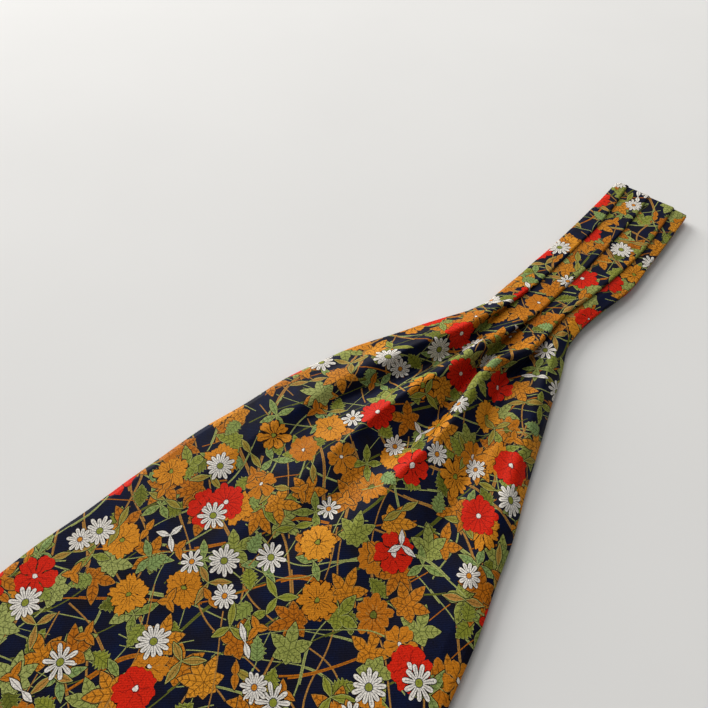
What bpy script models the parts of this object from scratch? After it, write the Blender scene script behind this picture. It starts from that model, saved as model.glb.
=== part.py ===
"""A silk day cravat, folded in half at its neckband and laid flat on a table.

It is drawn in metres with +Z up. +Y points to the fold in the neckband and -Y to the blades' points.
A station is a distance along the cravat from the fold, so it runs towards -Y.
"""

import math

import bpy
import numpy as np

MM = 0.001

# Driving dimensions
FOLDED_LENGTH = 590 * MM
UPPER_LENGTH = 579 * MM
NECK_STATION = 130 * MM
SETTLING = 20 * MM
UPPER_POINT_STATION = 492 * MM
LOWER_POINT_STATION = 502 * MM
BLUNT_HALF_WIDTH = 0.8 * MM
WALL = 1.0 * MM
SEAM_GAP = 0.3 * MM
HEM = 3.6 * MM
HEM_ROLL = 2.5 * MM
HEM_BEND = 1.2 * MM
TIGHTEST_HEM_BEND = 0.7 * MM
HEM_SHARE = 0.1
HEM_HEIGHT = 1.3 * MM
LOWER_INSET = 2.5 * MM
LOWER_SLIP = 3 * MM
SLIP_START = 300 * MM
LOWER_BAND_HEIGHT = 3.4 * MM
LOWER_BAND_INSET = 1.0 * MM
LOWER_BAND_PLIES = 3
LOWER_BAND_SECTIONS = 6
PLY_EDGE_ANGLES = (-50, 0, 50)
TURN_STEPS = 8
CREASE_ANGLE = 50

# Heights of the middle of each wall above the table, from the lowest cloth up
LAYER = WALL + SEAM_GAP
LOWER_FRONT_REST = WALL / 2
LOWER_BACK_REST = LOWER_FRONT_REST + LAYER
UPPER_BACK_REST = LOWER_BACK_REST + LAYER
UPPER_FRONT_REST = UPPER_BACK_REST + LAYER
UPPER_BAND_REST = LOWER_BAND_HEIGHT + SEAM_GAP + WALL / 2

# A knife pleat's lanes climb this far over its three plies
PLEAT_HEIGHT = 3.8 * MM

# The upper blade's and band's outline, in millimetres from the fold and from the middle line
OUTLINE_COLUMNS = ("station", "left", "right")
OUTLINE_ROWS = [
    (0, -22.0, 22.0),
    (25, -21.5, 23.5),
    (50, -21.0, 25.5),
    (75, -21.0, 26.0),
    (100, -22.0, 23.0),
    (115, -22.5, 21.5),
    (130, -23.0, 22.5),
    (145, -27.0, 27.5),
    (160, -34.0, 33.0),
    (175, -42.0, 38.5),
    (190, -49.0, 43.5),
    (210, -57.0, 50.5),
    (240, -65.5, 61.0),
    (270, -70.5, 69.5),
    (300, -74.5, 76.0),
    (340, -77.5, 80.0),
    (400, -81.0, 82.0),
    (492, -82.5, 82.5),
]

# Each pleat is a bend over a crest and a bend under a valley. In the band the valley lies left of the
# crest, so the cloth is folded under itself, and in the blade the two part and the pleat opens into a
# ridge. Positions are from the middle line and heights are above the resting cloth, in millimetres.
PLEAT_COLUMNS = ("station", "crest", "valley", "height", "bend")
LEFT_PLEAT_ROWS = [
    (0, -17.8, -18.6, 3.8, 0.62),
    (12, -15.4, -18.0, 3.8, 0.62),
    (25, -13.2, -17.0, 3.8, 0.62),
    (50, -11.4, -16.0, 3.8, 0.62),
    (100, -11.6, -16.4, 3.8, 0.62),
    (120, -13.0, -17.2, 3.9, 0.62),
    (132, -14.4, -16.6, 4.8, 0.8),
    (145, -16.8, -14.8, 6.0, 1.3),
    (160, -19.6, -14.6, 6.6, 2.0),
    (175, -25.2, -16.6, 6.4, 2.8),
    (190, -32.0, -21.4, 5.6, 3.6),
    (210, -40.0, -30.0, 4.2, 4.6),
    (240, -47.5, -38.5, 2.2, 6.0),
    (280, -53.0, -44.5, 0.9, 6.5),
    (330, -56.0, -48.0, 0.0, 6.5),
]
MIDDLE_PLEAT_ROWS = [
    (0, -2.8, -7.8, 3.8, 0.62),
    (25, 0.2, -5.5, 3.8, 0.62),
    (50, 1.1, -4.9, 3.8, 0.62),
    (75, 1.3, -4.7, 3.8, 0.62),
    (100, 0.4, -5.5, 3.8, 0.62),
    (120, 0.2, -5.5, 3.8, 0.62),
    (135, -1.2, -4.4, 5.0, 0.8),
    (150, -3.4, -3.0, 7.2, 1.3),
    (165, -6.2, -2.2, 9.0, 1.9),
    (180, -8.8, -0.8, 9.3, 2.4),
    (195, -11.6, 0.6, 8.4, 2.6),
    (210, -15.0, 1.8, 6.8, 3.0),
    (225, -17.8, 0.6, 4.8, 4.0),
    (240, -19.6, -2.6, 3.2, 5.5),
    (270, -22.0, -7.0, 1.4, 7.0),
    (310, -24.0, -10.0, 0.4, 7.0),
    (340, -25.0, -11.0, 0.0, 7.0),
]
RIGHT_PLEAT_ROWS = [
    (0, 12.4, 7.2, 3.8, 0.62),
    (25, 15.5, 9.8, 3.8, 0.62),
    (50, 17.0, 11.2, 3.8, 0.62),
    (70, 16.0, 10.2, 3.8, 0.62),
    (100, 13.0, 7.2, 3.8, 0.62),
    (118, 10.6, 5.8, 3.9, 0.62),
    (130, 10.9, 7.6, 4.6, 0.75),
    (142, 11.8, 10.8, 6.2, 1.0),
    (150, 11.8, 12.0, 7.6, 1.3),
    (160, 8.8, 11.2, 9.2, 1.6),
    (170, 4.8, 9.8, 9.8, 1.9),
    (180, 4.6, 11.6, 9.5, 2.2),
    (190, 6.2, 15.2, 8.8, 2.5),
    (205, 9.0, 21.4, 7.4, 3.0),
    (220, 10.2, 28.0, 5.8, 3.8),
    (240, 8.6, 34.0, 4.2, 5.0),
    (260, 8.8, 38.0, 2.8, 6.0),
    (280, 10.0, 42.0, 1.7, 6.5),
    (310, 12.0, 46.0, 0.7, 6.5),
    (340, 13.0, 48.0, 0.0, 6.5),
]

# The soft swell beside the right edge, and how high the cloth stands where its hems turn down
SWELL_COLUMNS = ("station", "crest", "height", "bend", "left_hem", "right_hem")
SWELL_ROWS = [
    (0, 18.0, 1.9, 1.0, 2.7, 1.2),
    (25, 19.6, 1.7, 1.0, 2.3, 1.1),
    (50, 21.6, 1.7, 1.0, 2.2, 1.1),
    (85, 19.0, 1.8, 1.0, 2.0, 1.1),
    (100, 17.0, 1.9, 1.2, 2.0, 1.1),
    (118, 15.6, 2.2, 1.5, 2.0, 1.2),
    (130, 16.8, 2.9, 2.0, 2.0, 1.4),
    (145, 21.0, 4.2, 3.0, 2.0, 1.6),
    (160, 25.2, 5.2, 4.0, 2.0, 1.7),
    (180, 31.5, 5.6, 5.0, 1.6, 1.6),
    (200, 38.0, 5.0, 6.0, 1.2, 1.3),
    (220, 45.0, 4.0, 7.0, 0.8, 1.0),
    (250, 54.0, 2.4, 7.0, 0.4, 0.6),
    (280, 62.0, 1.2, 7.0, 0.2, 0.3),
    (310, 68.0, 0.4, 7.0, 0.1, 0.1),
    (340, 72.0, 0.0, 7.0, 0.0, 0.0),
]

# Stations of the sections, in millimetres
BAND_STATIONS = (12, 25, 37, 50, 62, 75, 87, 100, 110, 118, 124)
BLADE_STATIONS = (
    (136, 142, 148, 154, 160, 166, 172, 178, 185, 192, 200, 208, 216, 225)
    + (236, 248, 262, 278, 295, 315, 340, 380, 430, 478)
)
LOWER_STATIONS = (150, 170, 190, 215, 245, 280, 340, 400, 450)
POINT_STEPS = (0.0, 0.35, 0.7, 1.0)

# Base colour, roughness and metallic value of each cloth
FACE_SILK = ((0.16, 0.082, 0.024), 0.45, 0.0)
LINING_SILK = ((0.02, 0.03, 0.07), 0.5, 0.0)
BAND_SILK = ((0.11, 0.075, 0.04), 0.45, 0.0)
LOWER_SILK = ((0.13, 0.06, 0.018), 0.5, 0.0)


def smooth(stations, values, at):
    """A cubic through a table's column that never overshoots between two rows."""
    at = min(max(at, stations[0]), stations[-1])
    rises = np.diff(values) / np.diff(stations)
    inner = np.zeros(len(rises) - 1)
    climbing = rises[:-1] * rises[1:] > 0
    inner[climbing] = 2 / (1 / rises[:-1][climbing] + 1 / rises[1:][climbing])
    slopes = np.concatenate([rises[:1], inner, rises[-1:]])
    row = min(int(np.searchsorted(stations, at, side="right")), len(stations) - 1) - 1
    step = stations[row + 1] - stations[row]
    t = (at - stations[row]) / step
    start = values[row] * (1 + 2 * t) + slopes[row] * step * t
    end = values[row + 1] * (3 - 2 * t) + slopes[row + 1] * step * (t - 1)
    return start * (1 - t) ** 2 + end * t**2


def reader(columns, rows):
    """A function that gives a named column's value at a station, in metres."""
    table = np.array(rows, float) * MM

    def read(name, station):
        return float(smooth(table[:, 0], table[:, columns.index(name)], station))

    return read


outline = reader(OUTLINE_COLUMNS, OUTLINE_ROWS)
swell = reader(SWELL_COLUMNS, SWELL_ROWS)
PLEAT_TABLES = (LEFT_PLEAT_ROWS, MIDDLE_PLEAT_ROWS, RIGHT_PLEAT_ROWS)
pleats = [reader(PLEAT_COLUMNS, rows) for rows in PLEAT_TABLES]


def point_narrowing(station, point_station, length):
    """1 along the blade, and down towards 0 along its point."""
    blunt = BLUNT_HALF_WIDTH / outline("right", point_station)
    reached = max(0.0, (station - point_station) / (length - point_station))
    return 1 + (blunt - 1) * reached


def heading(rod, after):
    """Direction of the cloth between two rods. A rod is x, z and a radius, negative where it is under it."""
    across, up = after[0] - rod[0], after[1] - rod[1]
    lean = (rod[2] - after[2]) / math.hypot(across, up)
    return math.atan2(up, across) - math.asin(max(-1.0, min(1.0, lean)))


def turned(radius, before, after):
    """How far the cloth turns round a rod: down over a crest, up under a valley."""
    turn = (after - before + math.pi) % (2 * math.pi) - math.pi
    slack = math.radians(30)
    if radius > 0:
        return min(0.0, turn - 2 * math.pi if turn > slack else turn)
    return max(0.0, turn + 2 * math.pi if turn < -slack else turn)


def string_over(start, rods, end):
    """A section of cloth, as a string drawn from its left hem over and under its rods to its right hem.

    Each rod also has the number of points on its bend and on the straight that follows it.
    Gives the points and the directions that face out of the cloth's upper side.
    """
    stops = [(*start, 0.0, 0, 0), *rods, (*end, 0.0, 0, 0)]
    angles = [heading(rod, after) for rod, after in zip(stops, stops[1:])]
    points = [start]
    facing = [angles[0]]
    angle = angles[0]
    for (x, z, radius, bend_points, straight_points), after in zip(stops[1:-1], angles[1:]):
        turn = turned(radius, angle, after)
        for step in range(bend_points):
            reached = angle + turn * step / (bend_points - 1)
            points.append((x - math.sin(reached) * radius, z + math.cos(reached) * radius))
            facing.append(reached)
        angle += turn
        points += [None] * straight_points
        facing += [angle] * straight_points
    points.append(end)
    facing.append(angle)
    return np.array(filled(points)), np.array([(-math.sin(a), math.cos(a)) for a in facing])


def filled(points):
    """The same points, with those left out spaced evenly along their straights."""
    known = [i for i, point in enumerate(points) if point is not None]
    axes = [np.interp(range(len(points)), known, [points[i][axis] for i in known]) for axis in (0, 1)]
    return list(zip(*axes))


def settled(station):
    """0 in the band, and 1 once the blade's cloth has settled onto its lining."""
    return min(1.0, max(0.0, (station - NECK_STATION) / SETTLING))


def rolled_hem(half_width):
    """A hem's width, bend and height at a place of the blade, where it flattens out towards the point."""
    roll = min(HEM_ROLL, HEM_SHARE * half_width)
    share = roll / HEM_ROLL
    return roll, max(HEM_BEND * share, TIGHTEST_HEM_BEND), HEM_HEIGHT * share**2


def face_section(station):
    """Middle line of the upper face cloth at a station, with its pleats or the ridges they open into."""
    keep = point_narrowing(station, UPPER_POINT_STATION, UPPER_LENGTH)
    at = min(station, UPPER_POINT_STATION)
    rest = UPPER_BAND_REST + (UPPER_FRONT_REST - UPPER_BAND_REST) * settled(station)
    left, right = outline("left", at) * keep, outline("right", at) * keep
    hem, bend, height = rolled_hem(right)
    drop = height * settled(station)
    rods = [(left + hem, rest + swell("left_hem", at) - bend, bend, 3, 1)]
    for pleat in pleats:
        radius, height = pleat("bend", at) * keep, pleat("height", at)
        rods.append((pleat("crest", at) * keep, rest + height - radius, radius, 5, 1))
        rods.append((pleat("valley", at) * keep, rest + radius, -radius, 5, 2))
    radius = swell("bend", at) * keep
    rods.append((swell("crest", at) * keep, rest + swell("height", at) - radius, radius, 3, 1))
    rods.append((right - hem, rest + swell("right_hem", at) - bend, bend, 3, 0))
    return string_over((left, rest - drop), rods, (right, rest - drop))


def wall_loop(section):
    """The closed loop round a wall: its upper side from left to right, and its lower side back."""
    points, facing = section
    return np.vstack([points + facing * WALL / 2, (points - facing * WALL / 2)[::-1]])


def placed(loop, station):
    """A loop of x and z, stood up at its station."""
    y = np.full(len(loop), FOLDED_LENGTH / 2 - station)
    return np.column_stack([loop[:, 0], y, loop[:, 1]])


def loft(name, rings, silk):
    """One closed solid through rings of paired points, each ring capped by strips across the cloth."""
    count = len(rings[0])
    faces = []
    for ring in range(len(rings) - 1):
        near, far = ring * count, (ring + 1) * count
        for i in range(count):
            after = (i + 1) % count
            faces.append((near + i, far + i, far + after, near + after))
    last = (len(rings) - 1) * count
    for i in range(count // 2 - 1):
        across = (i, i + 1, count - 2 - i, count - 1 - i)
        faces.append(across)
        faces.append(tuple(last + corner for corner in reversed(across)))
    mesh = bpy.data.meshes.new(name)
    mesh.from_pydata(np.vstack(rings).tolist(), [], faces)
    mesh.validate()
    solid = bpy.data.objects.new(name, mesh)
    bpy.context.collection.objects.link(solid)
    mesh.materials.append(cloth_material(name, silk))
    mesh.shade_smooth()
    mesh.set_sharp_from_angle(angle=math.radians(CREASE_ANGLE))
    return solid


def cloth_material(name, silk):
    colour, roughness, metallic = silk
    material = bpy.data.materials.new(name)
    material.use_nodes = True
    shader = material.node_tree.nodes["Principled BSDF"]
    shader.inputs["Base Color"].default_value = (*colour, 1.0)
    shader.inputs["Roughness"].default_value = roughness
    shader.inputs["Metallic"].default_value = metallic
    return material


def stations_to_point(stations, point_station, length):
    """The given stations in metres, then those along the point."""
    along = [station * MM for station in stations]
    return along + [point_station + step * (length - point_station) for step in POINT_STEPS]


def upper_blade_front():
    """The face cloth of the upper blade, where the pleats open into ridges and die away."""
    stations = stations_to_point(BLADE_STATIONS, UPPER_POINT_STATION, UPPER_LENGTH)
    rings = []
    for station in [NECK_STATION + SEAM_GAP / 2, *stations]:
        rings.append(placed(wall_loop(face_section(station)), station))
    return loft("upper_blade_front", rings, FACE_SILK)


def neckband_upper(turn_station):
    """The upper stretch of the band, its cloth laid in three knife pleats that open to the right."""
    rings = []
    inner = [station * MM for station in BAND_STATIONS]
    for station in [turn_station + SEAM_GAP / 2, *inner, NECK_STATION - SEAM_GAP / 2]:
        rings.append(placed(wall_loop(face_section(station)), station))
    return loft("neckband_upper", rings, BAND_SILK)


def turn_sizes():
    """Height of the fold's axis, the gap round it, the pleats' thickness, and how far it thins below."""
    axis = LOWER_BAND_HEIGHT + SEAM_GAP / 2
    gap = SEAM_GAP / 2
    thickness = PLEAT_HEIGHT + WALL
    return axis, gap, thickness, (axis - gap) / thickness


def neckband_turn(turn_station):
    """The middle of the band, where its pleats are carried round the fold."""
    axis, gap, _, thin = turn_sizes()
    flat = wall_loop(face_section(turn_station))
    heights = flat[:, 1] - (UPPER_BAND_REST - WALL / 2)
    rings = []
    for step in range(TURN_STEPS + 1):
        angle = math.pi * step / TURN_STEPS
        reach = gap + heights * (1 + (thin - 1) * step / TURN_STEPS)
        y = FOLDED_LENGTH / 2 - turn_station + reach * math.sin(angle)
        rings.append(np.column_stack([flat[:, 0], y, axis + reach * math.cos(angle)]))
    return loft("neckband_turn", rings[::-1], BAND_SILK)


def neckband_lower(turn_station):
    """The hidden stretch of the band: one rounded solid, its plies showing at both long edges."""
    bulge = LOWER_BAND_HEIGHT / LOWER_BAND_PLIES / 2
    rings = []
    start, end = turn_station + SEAM_GAP, NECK_STATION - SEAM_GAP / 2
    for station in np.linspace(start, end, LOWER_BAND_SECTIONS):
        left = outline("left", station) + LOWER_BAND_INSET
        right = outline("right", station) - LOWER_BAND_INSET
        edge = [(bulge, 0.0)]
        for ply in range(LOWER_BAND_PLIES):
            for angle in map(math.radians, PLY_EDGE_ANGLES):
                height = bulge * (2 * ply + 1 + math.sin(angle))
                edge.append((bulge * (1 - math.cos(angle)), height))
        edge.append((bulge, LOWER_BAND_HEIGHT))
        side = np.array(edge)
        left_side = np.column_stack([left + side[:, 0], side[:, 1]])
        right_side = np.column_stack([right - side[:, 0], side[:, 1]])
        loop = np.vstack([left_side, right_side[::-1]])
        rings.append(placed(loop, station))
    return loft("neckband_lower", rings, LOWER_SILK)


def lining(name, rest, point_station, length, inset, slips):
    """A flat panel of lining, set in from the hems of its face cloth."""
    stations = stations_to_point(LOWER_STATIONS, point_station, length - inset)
    rings = []
    for station in [NECK_STATION + SEAM_GAP, *stations]:
        keep = point_narrowing(station, point_station, length - inset)
        at = min(station, point_station)
        middle = slipped(station) * slips
        left = middle + (outline("left", at) + inset) * keep
        right = middle + (outline("right", at) - inset) * keep
        low, high = rest - WALL / 2, rest + WALL / 2
        rings.append(placed(np.array([(left, high), (right, high), (right, low), (left, low)]), station))
    return loft(name, rings, LINING_SILK)


def slipped(station):
    """The lower blade has slid a little to the left of the upper one towards its point."""
    return -LOWER_SLIP * max(0.0, (station - SLIP_START) / (FOLDED_LENGTH - SLIP_START))


def lower_blade_front():
    """The face cloth of the lower blade, face down, its hems turned up round its lining."""
    stations = stations_to_point(LOWER_STATIONS, LOWER_POINT_STATION, FOLDED_LENGTH)
    rings = []
    for station in [NECK_STATION + SEAM_GAP, *stations]:
        keep = point_narrowing(station, LOWER_POINT_STATION, FOLDED_LENGTH)
        at = min(station, LOWER_POINT_STATION)
        middle = slipped(station)
        left = middle + (outline("left", at) + LOWER_INSET) * keep
        right = middle + (outline("right", at) - LOWER_INSET) * keep
        hem, bend, height = rolled_hem((right - left) / 2)
        centre = LOWER_FRONT_REST + bend
        rods = [(left + hem, centre, -bend, 3, 2), (right - hem, centre, -bend, 3, 0)]
        top = LOWER_FRONT_REST + height
        section = string_over((left, top), rods, (right, top))
        rings.append(placed(wall_loop(section), station))
    return loft("lower_blade_front", rings, LOWER_SILK)


def build():
    for thing in list(bpy.data.objects):
        bpy.data.objects.remove(thing, do_unlink=True)
    _, gap, thickness, thin = turn_sizes()
    turn_station = gap + thickness * (1 + thin) / 2
    upper_blade_front()
    lining("upper_blade_back", UPPER_BACK_REST, UPPER_POINT_STATION, UPPER_LENGTH, HEM, 0)
    lining("lower_blade_back", LOWER_BACK_REST, LOWER_POINT_STATION, FOLDED_LENGTH, HEM + LOWER_INSET, 1)
    lower_blade_front()
    neckband_upper(turn_station)
    neckband_turn(turn_station)
    neckband_lower(turn_station)


build()
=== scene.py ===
"""How the folded silk cravat looks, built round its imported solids.

Lengths are in metres, with +Z up off the table and +Y towards the fold in the neckband.
A station is a distance along the cravat from that fold, so it runs towards -Y.
"""

import math

import bpy
import numpy as np
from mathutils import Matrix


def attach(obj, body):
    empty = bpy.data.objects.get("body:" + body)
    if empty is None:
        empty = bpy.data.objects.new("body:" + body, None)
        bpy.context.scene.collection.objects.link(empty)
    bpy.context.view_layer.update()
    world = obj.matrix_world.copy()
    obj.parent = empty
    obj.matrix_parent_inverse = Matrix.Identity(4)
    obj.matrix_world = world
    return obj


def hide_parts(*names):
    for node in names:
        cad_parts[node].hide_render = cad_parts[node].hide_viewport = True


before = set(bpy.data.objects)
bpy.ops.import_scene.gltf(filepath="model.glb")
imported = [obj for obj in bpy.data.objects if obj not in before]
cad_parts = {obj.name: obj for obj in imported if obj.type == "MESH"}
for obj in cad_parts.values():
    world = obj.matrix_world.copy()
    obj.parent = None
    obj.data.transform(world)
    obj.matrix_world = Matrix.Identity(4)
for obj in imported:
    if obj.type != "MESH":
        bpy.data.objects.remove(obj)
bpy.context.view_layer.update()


# The view
# The cravat is seen from above its right side, close up, as it lies on the table. The camera leans
# 37 degrees from straight down, and is turned so that the cravat lies near the picture's diagonal.
CAMERA_PLACE = (0.077, -0.049, 0.255)
CAMERA_LEAN = math.radians(37)
CAMERA_TURN = math.radians(42.7)
FILM_WIDTH = 36.0
LENS = 33.05

camera = bpy.data.objects.new("camera", bpy.data.cameras.new("camera"))
bpy.context.scene.collection.objects.link(camera)
camera.location = CAMERA_PLACE
camera.rotation_euler = (CAMERA_LEAN, 0.0, CAMERA_TURN)
camera.data.sensor_width = FILM_WIDTH
camera.data.lens = LENS
camera.data.clip_start = 0.01
bpy.context.scene.camera = camera
bpy.context.scene.view_settings.view_transform = "Standard"


# The table
# A smooth, pale, painted table top that runs out of the picture on every side. It is faintly mottled,
# and just rough enough to show no reflection of the cravat.
TABLE_HALF_SIDE = 2.5
TABLE_DROP = 0.0001
TABLE_LIGHT = (0.80, 0.795, 0.785, 1.0)
TABLE_DARK = (0.76, 0.755, 0.745, 1.0)


def flat_mesh(name, corners):
    """One flat face."""
    mesh = bpy.data.meshes.new(name)
    mesh.from_pydata(corners, [], [tuple(range(len(corners)))])
    return mesh


side = TABLE_HALF_SIDE
table_corners = [(x, y, -TABLE_DROP) for x, y in ((-side, -side), (side, -side), (side, side), (-side, side))]
table = bpy.data.objects.new("table", flat_mesh("table", table_corners))
bpy.context.scene.collection.objects.link(table)

table_paint = bpy.data.materials.new("table_paint")
table_paint.use_nodes = True
nodes, links = table_paint.node_tree.nodes, table_paint.node_tree.links
table_shader = nodes["Principled BSDF"]
table_shader.inputs["Roughness"].default_value = 0.75
table_shader.inputs["Specular IOR Level"].default_value = 0.05
table_place = nodes.new("ShaderNodeTexCoord")
mottle = nodes.new("ShaderNodeTexNoise")
mottle.inputs["Scale"].default_value = 9.0
mottle.inputs["Detail"].default_value = 3.0
table_tones = nodes.new("ShaderNodeMix")
table_tones.data_type = "RGBA"
table_tones.inputs["A"].default_value = TABLE_DARK
table_tones.inputs["B"].default_value = TABLE_LIGHT
links.new(table_place.outputs["Object"], mottle.inputs["Vector"])
links.new(mottle.outputs["Fac"], table_tones.inputs["Factor"])
links.new(table_tones.outputs["Result"], table_shader.inputs["Base Color"])
table.data.materials.append(table_paint)


# The daylight
# One broad soft window low on the cravat's left, a weaker one higher up beyond its fold, and the dim
# walls of the room all round.
WINDOW = ("window", (-3.5, 0.9, 1.35), 2.4, 185.0)
SKYLIGHT = ("skylight", (-1.2, 1.3, 2.0), 1.4, 27.0)
ROOM_BRIGHTNESS = 0.22


def window_light(name, place, side, power):
    """A square soft light that faces the middle of the cravat."""
    lamp = bpy.data.lights.new(name, "AREA")
    lamp.shape = "SQUARE"
    lamp.size = side
    lamp.energy = power
    lamp.color = (1.0, 0.99, 0.97)
    light = bpy.data.objects.new(name, lamp)
    bpy.context.scene.collection.objects.link(light)
    light.location = place
    light.rotation_euler = (-light.location).to_track_quat("-Z", "Y").to_euler()


window_light(*WINDOW)
window_light(*SKYLIGHT)
room = bpy.data.worlds.new("room")
room.use_nodes = True
room.node_tree.nodes["Background"].inputs["Color"].default_value = (1.0, 0.995, 0.98, 1.0)
room.node_tree.nodes["Background"].inputs["Strength"].default_value = ROOM_BRIGHTNESS
bpy.context.scene.world = room


# The printed cloth of the upper blade and of the neckband
# One length of printed silk twill. It is laid in three knife pleats along the neckband, doubled back at
# the fold, and opens from the pleats into ridges that die away down the blade. Its hems are turned under.
MM = 0.001
FOLDED_LENGTH = 590 * MM
UPPER_LENGTH = 579 * MM
NECK_STATION = 130 * MM
SETTLING = 20 * MM
UPPER_POINT_STATION = 492 * MM
BLUNT_HALF_WIDTH = 1.2 * MM
WALL = 1.0 * MM
SEAM_GAP = 0.3 * MM
SILK = 0.4 * MM
HEM_ROLL = 2.5 * MM
HEM_BEND = 1.2 * MM
TIGHTEST_HEM_BEND = 0.7 * MM
HEM_SHARE = 0.1
HEM_FOLD = 0.42 * MM
HEM_DEPTH = 7 * MM
MOST_HEM_FOLD = 0.45
MOST_HEM_DEPTH = 0.6
TIGHTEST_VALLEY = 0.1 * MM
LOWER_BAND_HEIGHT = 3.4 * MM
PLEAT_HEIGHT = 3.8 * MM
LAYER = WALL + SEAM_GAP
UPPER_FRONT_REST = WALL / 2 + 3 * LAYER
UPPER_BAND_REST = LOWER_BAND_HEIGHT + SEAM_GAP + WALL / 2
LINING_TOP = 3.05 * MM

# The outline, in millimetres from the fold and from the middle line
OUTLINE_COLUMNS = ("station", "left", "right")
OUTLINE_ROWS = [
    (0, -22.0, 22.0),
    (25, -21.5, 23.5),
    (50, -21.0, 25.5),
    (75, -21.0, 26.0),
    (100, -22.0, 23.0),
    (115, -22.5, 21.5),
    (130, -23.0, 22.5),
    (145, -27.0, 27.5),
    (160, -34.0, 33.0),
    (175, -42.0, 38.5),
    (190, -49.0, 43.5),
    (210, -57.0, 50.5),
    (240, -65.5, 61.0),
    (270, -70.5, 69.5),
    (300, -74.5, 76.0),
    (340, -77.5, 80.0),
    (400, -81.0, 82.0),
    (492, -82.5, 82.5),
]

# Each pleat is a bend over a crest and a bend under a valley. height is the crest's and bend its radius,
# all in millimetres.
PLEAT_COLUMNS = ("station", "crest", "valley", "height", "bend")
LEFT_PLEAT_ROWS = [
    (0, -16.6, -18.6, 1.7, 0.55),
    (12, -15.0, -18.0, 1.7, 0.55),
    (25, -13.2, -17.0, 1.7, 0.55),
    (50, -11.4, -16.0, 1.8, 0.55),
    (100, -11.6, -16.4, 2.1, 0.55),
    (120, -13.0, -17.2, 3.0, 0.6),
    (132, -14.4, -16.6, 4.6, 0.8),
    (145, -16.8, -14.8, 6.0, 1.3),
    (160, -19.6, -14.6, 7.2, 2.0),
    (175, -25.2, -16.6, 7.2, 2.8),
    (190, -32.0, -21.4, 6.4, 3.6),
    (210, -40.0, -30.0, 5.0, 4.6),
    (240, -47.5, -38.5, 2.8, 6.0),
    (280, -53.0, -44.5, 0.9, 6.5),
    (330, -56.0, -48.0, 0.0, 6.5),
]
MIDDLE_PLEAT_ROWS = [
    (0, -2.8, -7.8, 1.8, 0.55),
    (25, 0.2, -5.5, 1.8, 0.55),
    (50, 1.1, -4.9, 1.8, 0.55),
    (75, 1.3, -4.7, 1.9, 0.55),
    (100, 0.4, -5.5, 2.2, 0.55),
    (120, 0.2, -5.5, 3.0, 0.6),
    (135, -1.2, -4.4, 4.9, 0.8),
    (150, -3.4, -3.0, 7.2, 1.3),
    (165, -6.2, -2.2, 9.0, 1.9),
    (180, -8.8, -0.8, 9.3, 2.4),
    (195, -11.6, 0.2, 9.0, 2.6),
    (210, -15.0, 0.6, 7.9, 3.0),
    (225, -17.8, -1.0, 6.2, 4.0),
    (240, -19.6, -4.0, 4.4, 5.5),
    (270, -22.0, -7.0, 2.0, 7.0),
    (310, -24.0, -10.0, 0.4, 7.0),
    (340, -25.0, -11.0, 0.0, 7.0),
]
RIGHT_PLEAT_ROWS = [
    (0, 12.4, 7.2, 1.8, 0.55),
    (25, 15.5, 9.8, 1.8, 0.55),
    (50, 17.0, 11.2, 1.8, 0.55),
    (70, 16.0, 10.2, 1.9, 0.55),
    (100, 13.0, 7.2, 2.3, 0.55),
    (118, 10.6, 5.8, 3.1, 0.6),
    (130, 10.9, 7.6, 4.4, 0.75),
    (142, 11.8, 10.8, 6.2, 1.0),
    (150, 11.8, 12.6, 7.6, 1.3),
    (160, 8.8, 12.8, 9.2, 1.6),
    (170, 4.8, 12.4, 9.8, 1.9),
    (180, 4.6, 14.4, 9.7, 2.2),
    (190, 6.2, 18.0, 9.2, 2.5),
    (205, 9.0, 23.4, 8.2, 3.0),
    (220, 10.2, 28.6, 6.8, 3.8),
    (240, 8.6, 33.0, 5.2, 5.0),
    (260, 8.8, 37.0, 3.5, 6.0),
    (280, 10.0, 42.0, 1.7, 6.5),
    (310, 12.0, 46.0, 0.7, 6.5),
    (340, 13.0, 48.0, 0.0, 6.5),
]

# The soft swell beside the right edge, and how high the cloth stands where its hems turn down, in
# millimetres
SWELL_COLUMNS = ("station", "crest", "height", "bend", "left_hem", "right_hem")
SWELL_ROWS = [
    (0, 18.0, 0.5, 1.0, 1.2, 0.3),
    (25, 19.6, 0.5, 1.0, 1.0, 0.3),
    (50, 21.6, 0.5, 1.0, 0.9, 0.3),
    (85, 19.0, 0.6, 1.0, 0.9, 0.3),
    (100, 17.0, 0.9, 1.2, 1.0, 0.4),
    (118, 15.6, 1.7, 1.5, 1.3, 0.7),
    (130, 16.8, 2.6, 2.0, 1.6, 1.1),
    (145, 21.0, 4.2, 3.0, 2.0, 1.6),
    (160, 25.2, 5.2, 4.0, 2.0, 1.7),
    (180, 31.5, 5.6, 5.0, 1.6, 1.6),
    (200, 38.0, 5.0, 6.0, 1.2, 1.3),
    (220, 45.0, 4.0, 7.0, 0.8, 1.0),
    (250, 54.0, 2.4, 7.0, 0.4, 0.6),
    (280, 62.0, 1.2, 7.0, 0.2, 0.3),
    (310, 68.0, 0.4, 7.0, 0.1, 0.1),
    (340, 72.0, 0.0, 7.0, 0.0, 0.0),
]

# Points on each bend and on the straight after it, from the left hem to the right one
HEM_FOLD_POINTS = (6, 3)
HEM_ROLL_POINTS = (5, 14)
CREST_POINTS = (9, 5)
VALLEY_POINTS = (9, 16)
SWELL_POINTS = (7, 11)
RIGHT_ROLL_POINTS = (5, 3)


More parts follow.
